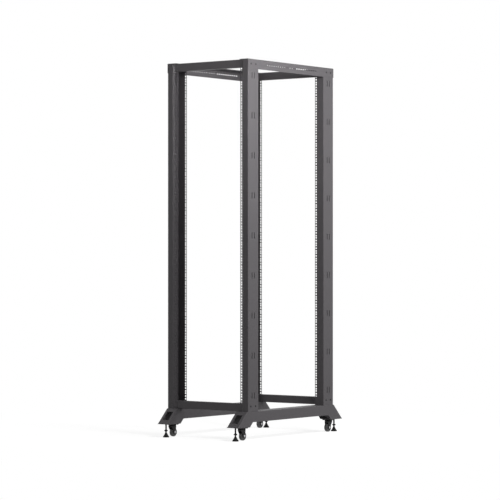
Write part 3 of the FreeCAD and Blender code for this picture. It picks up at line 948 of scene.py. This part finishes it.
def wheel_shell(castor, hardware):
    """Wheel with a crowned tread, a dished face, a raised hub and a bore.

    The closed section starts at the bore, goes out over one face, across the tread and back.
    """
    width, _, radius = castor.wheel_half
    bore = hardware.axle_radius + 0.0001
    hub = hardware.hub_radius
    shoulder = 0.0045
    bevel = 0.001
    dish = width - 0.0035
    crown = width - 0.0008
    arc = np.linspace(0, np.pi / 2, 6)
    face_r = [bore, hub - bevel, hub, hub + 0.0012, radius - 0.0085, radius - 0.007]
    face_x = [width, width, width - bevel, dish, dish, width - 0.0012]
    round_r = radius - shoulder + shoulder * np.sin(arc)
    round_x = crown - shoulder + shoulder * np.cos(arc)
    radii = np.concatenate([face_r, round_r])
    places = np.concatenate([face_x, round_x])
    radii = np.concatenate([radii, [radius], radii[::-1], [bore]])
    places = np.concatenate([places, [0.0], -places[::-1], [width]])
    return turned(radii, places, full_turn(56), "X", castor.wheel)


def screw_shell(place, radius, height):
    """Button head with a hexagon socket, facing right.

    From the socket's floor the section goes up its hexagon wall, over a low dome and down.
    """
    angles = full_turn(24)
    six = hexagon(SCREW_SOCKET, angles)[None, :]
    ring = np.ones((1, len(angles)))
    dome_r = radius * np.array([0.62, 0.86, 1.0, 1.0, 0])[:, None]
    rows = np.concatenate([0 * ring, six, six, dome_r * ring])
    heights = height * np.array([0.25, 0.25, 1.0, 0.97, 0.72, 0.35, 0, 0])
    return turned(rows, heights, angles, "X", place)


# ---------------------------------------------------------------- operators


class RACK_OT_posts(bpy.types.Operator):
    """Fold and punch the four posts"""

    bl_idname = "rack.fold_posts"
    bl_label = "Posts"

    def execute(self, context):
        sizes = context.scene.rack_sheets
        for corner, x_sign, y_sign in CORNERS:
            name = "post_" + corner
            shell = mirrored(post_shell(name, sizes), x_sign, y_sign)
            make_piece("folded_" + name, shell, powder_coat(), "frame", [name])
        return {"FINISHED"}


class RACK_OT_cross_beams(bpy.types.Operator):
    """Fold the beams between the left and right posts"""

    bl_idname = "rack.fold_cross_beams"
    bl_label = "Cross beams"

    def execute(self, context):
        sizes = context.scene.rack_sheets
        for level in ("bottom", "top"):
            for end, y_sign in ENDS:
                name = level + "_beam_" + end
                shell = mirrored(cross_beam_shell(name, sizes), 1, y_sign)
                make_piece("folded_" + name, shell, powder_coat(), "frame", [name])
        return {"FINISHED"}


class RACK_OT_side_beams(bpy.types.Operator):
    """Fold and slot the angles over the posts, with the slides behind them"""

    bl_idname = "rack.fold_side_beams"
    bl_label = "Side beams"

    def execute(self, context):
        scene = context.scene
        for side, x_sign in SIDES:
            name = "top_beam_" + side
            shell = mirrored(side_beam_shell(name, scene.rack_sheets, scene.rack_hardware), x_sign)
            make_piece("folded_" + name, shell, powder_coat(), "frame", [name])
            slide = mirrored(slide_shell(name, scene.rack_sheets), x_sign)
            make_piece("slide_" + side, slide, powder_coat(), "frame")
        return {"FINISHED"}


class RACK_OT_runners(bpy.types.Operator):
    """Fold the base runners with their sloped feet"""

    bl_idname = "rack.fold_runners"
    bl_label = "Base runners"

    def execute(self, context):
        sizes = context.scene.rack_sheets
        for side, x_sign in SIDES:
            name = "base_beam_" + side
            shell = mirrored(runner_shell(name, sizes), x_sign)
            make_piece("folded_" + name, shell, powder_coat(), "frame", [name])
        return {"FINISHED"}


class RACK_OT_foot_plates(bpy.types.Operator):
    """Coat the plates inside the feet"""

    bl_idname = "rack.coat_foot_plates"
    bl_label = "Foot plates"

    def execute(self, context):
        for corner, _, _ in CORNERS:
            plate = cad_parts["foot_plate_" + corner]
            for place in plate.material_slots:
                place.material = powder_coat()
        return {"FINISHED"}


class RACK_OT_levelling_feet(bpy.types.Operator):
    """Make the levelling feet with their pads, threads and lock nuts"""

    bl_idname = "rack.make_levelling_feet"
    bl_label = "Levelling feet"

    def execute(self, context):
        hardware = context.scene.rack_hardware
        for corner, _, _ in CORNERS:
            name = "levelling_foot_" + corner
            pad, stud, nut = levelling_foot_shells(name, hardware)
            make_piece("pad_" + corner, pad, black_pad(), name, [name])
            make_piece("stud_" + corner, joined([stud, nut]), blackened_steel(), name)
        return {"FINISHED"}


class RACK_OT_castors(bpy.types.Operator):
    """Make the castors: plate, fork, axle and wheel"""

    bl_idname = "rack.make_castors"
    bl_label = "Castors"

    def execute(self, context):
        hardware = context.scene.rack_hardware
        for corner, _, _ in CORNERS:
            castor = CastorPlaces(corner)
            plate = joined(castor_plate_shells(castor))
            make_piece("swivel_plate_" + corner, plate, blackened_steel(), "frame",
                       ["castor_plate_" + corner])
            body = "castor_fork_" + corner
            fork = joined(castor_fork_shells(castor, hardware))
            make_piece("fork_" + corner, fork, blackened_steel(), body, [body])
            axle = joined(axle_shells(castor, hardware))
            make_piece("axle_" + corner, axle, zinc_plate(), body)
            body = "castor_wheel_" + corner
            make_piece("wheel_" + corner, wheel_shell(castor, hardware), wheel_polymer(), body,
                       [body])
        return {"FINISHED"}


class RACK_OT_screws(bpy.types.Operator):
    """Put the screws in the posts and side beams"""

    bl_idname = "rack.set_screws"
    bl_label = "Screws"

    def execute(self, context):
        hardware = context.scene.rack_hardware
        post_high = reach("post_rear_right")[1]
        beam_low, beam_high = reach("top_beam_right")
        radius, height = hardware.screw_radius, hardware.screw_height
        sunk = beam_high[0] - height - 0.0001
        level = (beam_low[2] + beam_high[2]) / 2
        for side, x_sign in SIDES:
            shells = []
            for y in post_screw_places(hardware):
                shells.append(screw_shell((post_high[0], y, hardware.post_screw_level), radius, height))
                shells.append(screw_shell((sunk, y, level), radius, height))
            make_piece("screws_" + side, mirrored(joined(shells), x_sign), blackened_steel(), "frame")
        return {"FINISHED"}


# Name, place, target and size of each lamp.  Its power is the stage's value of the same name.
LAMPS = (
    ("key", (1.8, -0.6, 2.5), (0.2, -0.2, 1.7), 0.8),
    ("side", (4.0, 1.5, 2.0), (0, 0, 1.0), 2.0),
    ("edge", (2.0, -1.8, 2.3), (0, -0.4, 2.0), 0.4),
    ("front", (-3.0, -5.0, 1.2), (0, 0, 1.2), 2.0),
    ("left", (-4.5, 0.6, 1.6), (0, 0, 1.1), 2.0),
    ("rear", (1.2, 5.4, 2.2), (0, 0, 1.0), 2.5),
)


def area_lamp(name, place, target, size, power):
    """Square lamp aimed at a point."""
    lamp = bpy.data.lights.new(name, "AREA")
    lamp.shape = "SQUARE"
    lamp.size = size
    lamp.energy = power
    holder = bpy.data.objects.new(name, lamp)
    bpy.context.scene.collection.objects.link(holder)
    holder.location = place
    aim = np.array(target) - np.array(place)
    holder.rotation_euler = (math.atan2(math.hypot(aim[0], aim[1]), -aim[2]), 0,
                             math.atan2(aim[1], aim[0]) - math.pi / 2)


def seen_directly(tree):
    """One where the eye, a gloss or a clear body sees the surface, and nought elsewhere."""
    path = tree.nodes.new("ShaderNodeLightPath")
    most = maths(tree, "MAXIMUM", path.outputs["Is Camera Ray"], path.outputs["Is Glossy Ray"])
    return maths(tree, "MAXIMUM", most, path.outputs["Is Transmission Ray"])


class RACK_OT_stage(bpy.types.Operator):
    """Set the camera, the lamps, the sky and the floor"""

    bl_idname = "rack.set_stage"
    bl_label = "Stage"

    def execute(self, context):
        scene = context.scene
        stage = scene.rack_stage
        scene.view_settings.view_transform = "Standard"
        self.camera(scene, stage)
        self.sky(scene, stage)
        self.floor(stage)
        for name, place, target, size in LAMPS:
            area_lamp(name, place, target, size, getattr(stage, name + "_power"))
        bpy.data.lights["edge"].spread = math.radians(45)
        return {"FINISHED"}

    def camera(self, scene, stage):
        """Level camera turned to the right, with a long lens and a small shift."""
        lens = bpy.data.cameras.new("camera")
        lens.lens = stage.lens
        lens.sensor_width = 36.0
        lens.shift_x = stage.shift_x
        lens.shift_y = stage.shift_y
        lens.clip_end = 200.0
        camera = bpy.data.objects.new("camera", lens)
        scene.collection.objects.link(camera)
        turn = stage.azimuth
        camera.location = (stage.distance * math.sin(turn), -stage.distance * math.cos(turn), stage.height)
        camera.rotation_euler = (math.pi / 2, 0, turn)
        scene.camera = camera

    def sky(self, scene, stage):
        """White to the eye, and a faint even light on the rack."""
        world = bpy.data.worlds.new("studio")
        scene.world = world
        tree = blank_tree(world)
        seen = seen_directly(tree)
        dim = maths(tree, "MULTIPLY", maths(tree, "SUBTRACT", 1.0, seen), stage.ambient)
        sky = node(tree, "ShaderNodeBackground", Color=(1, 1, 1, 1), Strength=maths(tree, "ADD", seen, dim))
        node(tree, "ShaderNodeOutputWorld", Surface=sky.outputs[0])

    def floor(self, stage):
        """Round floor, a disc swept by radius and angle, pale near the rack and white far off."""
        radii = np.array([0, 0.8, 2.0, 5.0, 20.0, 60.0])
        points, faces = turned(radii, 0 * radii, full_turn(48))
        mesh = bpy.data.meshes.new("floor")
        mesh.from_pydata(points.tolist(), [], faces[:, ::-1].tolist())
        floor = bpy.data.objects.new("floor", mesh)
        bpy.context.scene.collection.objects.link(floor)
        material = bpy.data.materials.new("pale_floor")
        tree = blank_tree(material)
        seen = seen_directly(tree)
        grey = stage.floor_tint
        matt = node(tree, "ShaderNodeBsdfDiffuse", Color=(grey, grey, grey, 1))
        lift = node(tree, "ShaderNodeEmission", Strength=maths(tree, "MULTIPLY", seen, stage.floor_lift))
        white = node(tree, "ShaderNodeEmission")
        pale = tree.nodes.new("ShaderNodeAddShader")
        feed(tree, matt.outputs[0], pale.inputs[0])
        feed(tree, lift.outputs[0], pale.inputs[1])
        where = tree.nodes.new("ShaderNodeTexCoord")
        far = node(tree, "ShaderNodeVectorMath", operation="LENGTH", Vector=where.outputs["Object"])
        fade = node(tree, "ShaderNodeMapRange", interpolation_type="SMOOTHSTEP", From_Min=0.6,
                    From_Max=2.2, Value=far.outputs["Value"])
        mix = node(tree, "ShaderNodeMixShader", Fac=maths(tree, "MULTIPLY", fade.outputs["Result"], seen))
        feed(tree, pale.outputs[0], mix.inputs[1])
        feed(tree, white.outputs[0], mix.inputs[2])
        node(tree, "ShaderNodeOutputMaterial", Surface=mix.outputs[0])
        mesh.materials.append(material)


class RACK_PT_panel(bpy.types.Panel):
    """Lists the rack's pieces"""

    bl_label = "Open frame rack"
    bl_idname = "RACK_PT_panel"
    bl_space_type = "VIEW_3D"
    bl_region_type = "UI"
    bl_category = "Rack"

    def draw(self, context):
        for step in STEPS:
            self.layout.operator(step.bl_idname)
        for group in (context.scene.rack_sheets, context.scene.rack_hardware, context.scene.rack_finish,
                      context.scene.rack_stage):
            box = self.layout.box()
            for key in group.bl_rna.properties.keys():
                if key not in ("rna_type", "name"):
                    box.prop(group, key)


STEPS = (
    RACK_OT_stage,
    RACK_OT_posts,
    RACK_OT_cross_beams,
    RACK_OT_side_beams,
    RACK_OT_runners,
    RACK_OT_foot_plates,
    RACK_OT_levelling_feet,
    RACK_OT_castors,
    RACK_OT_screws,
)
GROUPS = (
    ("rack_sheets", RackSheetSizes),
    ("rack_hardware", RackHardwareSizes),
    ("rack_finish", RackFinish),
    ("rack_stage", RackStage),
)


def register():
    for name, group in GROUPS:
        bpy.utils.register_class(group)
        setattr(bpy.types.Scene, name, bpy.props.PointerProperty(type=group))
    for step in STEPS:
        bpy.utils.register_class(step)
    bpy.utils.register_class(RACK_PT_panel)


def unregister():
    bpy.utils.unregister_class(RACK_PT_panel)
    for step in reversed(STEPS):
        bpy.utils.unregister_class(step)
    for name, group in reversed(GROUPS):
        delattr(bpy.types.Scene, name)
        bpy.utils.unregister_class(group)


def main():
    """Make every piece."""
    register()
    bpy.ops.rack.set_stage()
    bpy.ops.rack.fold_posts()
    bpy.ops.rack.fold_cross_beams()
    bpy.ops.rack.fold_side_beams()
    bpy.ops.rack.fold_runners()
    bpy.ops.rack.coat_foot_plates()
    bpy.ops.rack.make_levelling_feet()
    bpy.ops.rack.make_castors()
    bpy.ops.rack.set_screws()


if __name__ == "__main__":
    main()
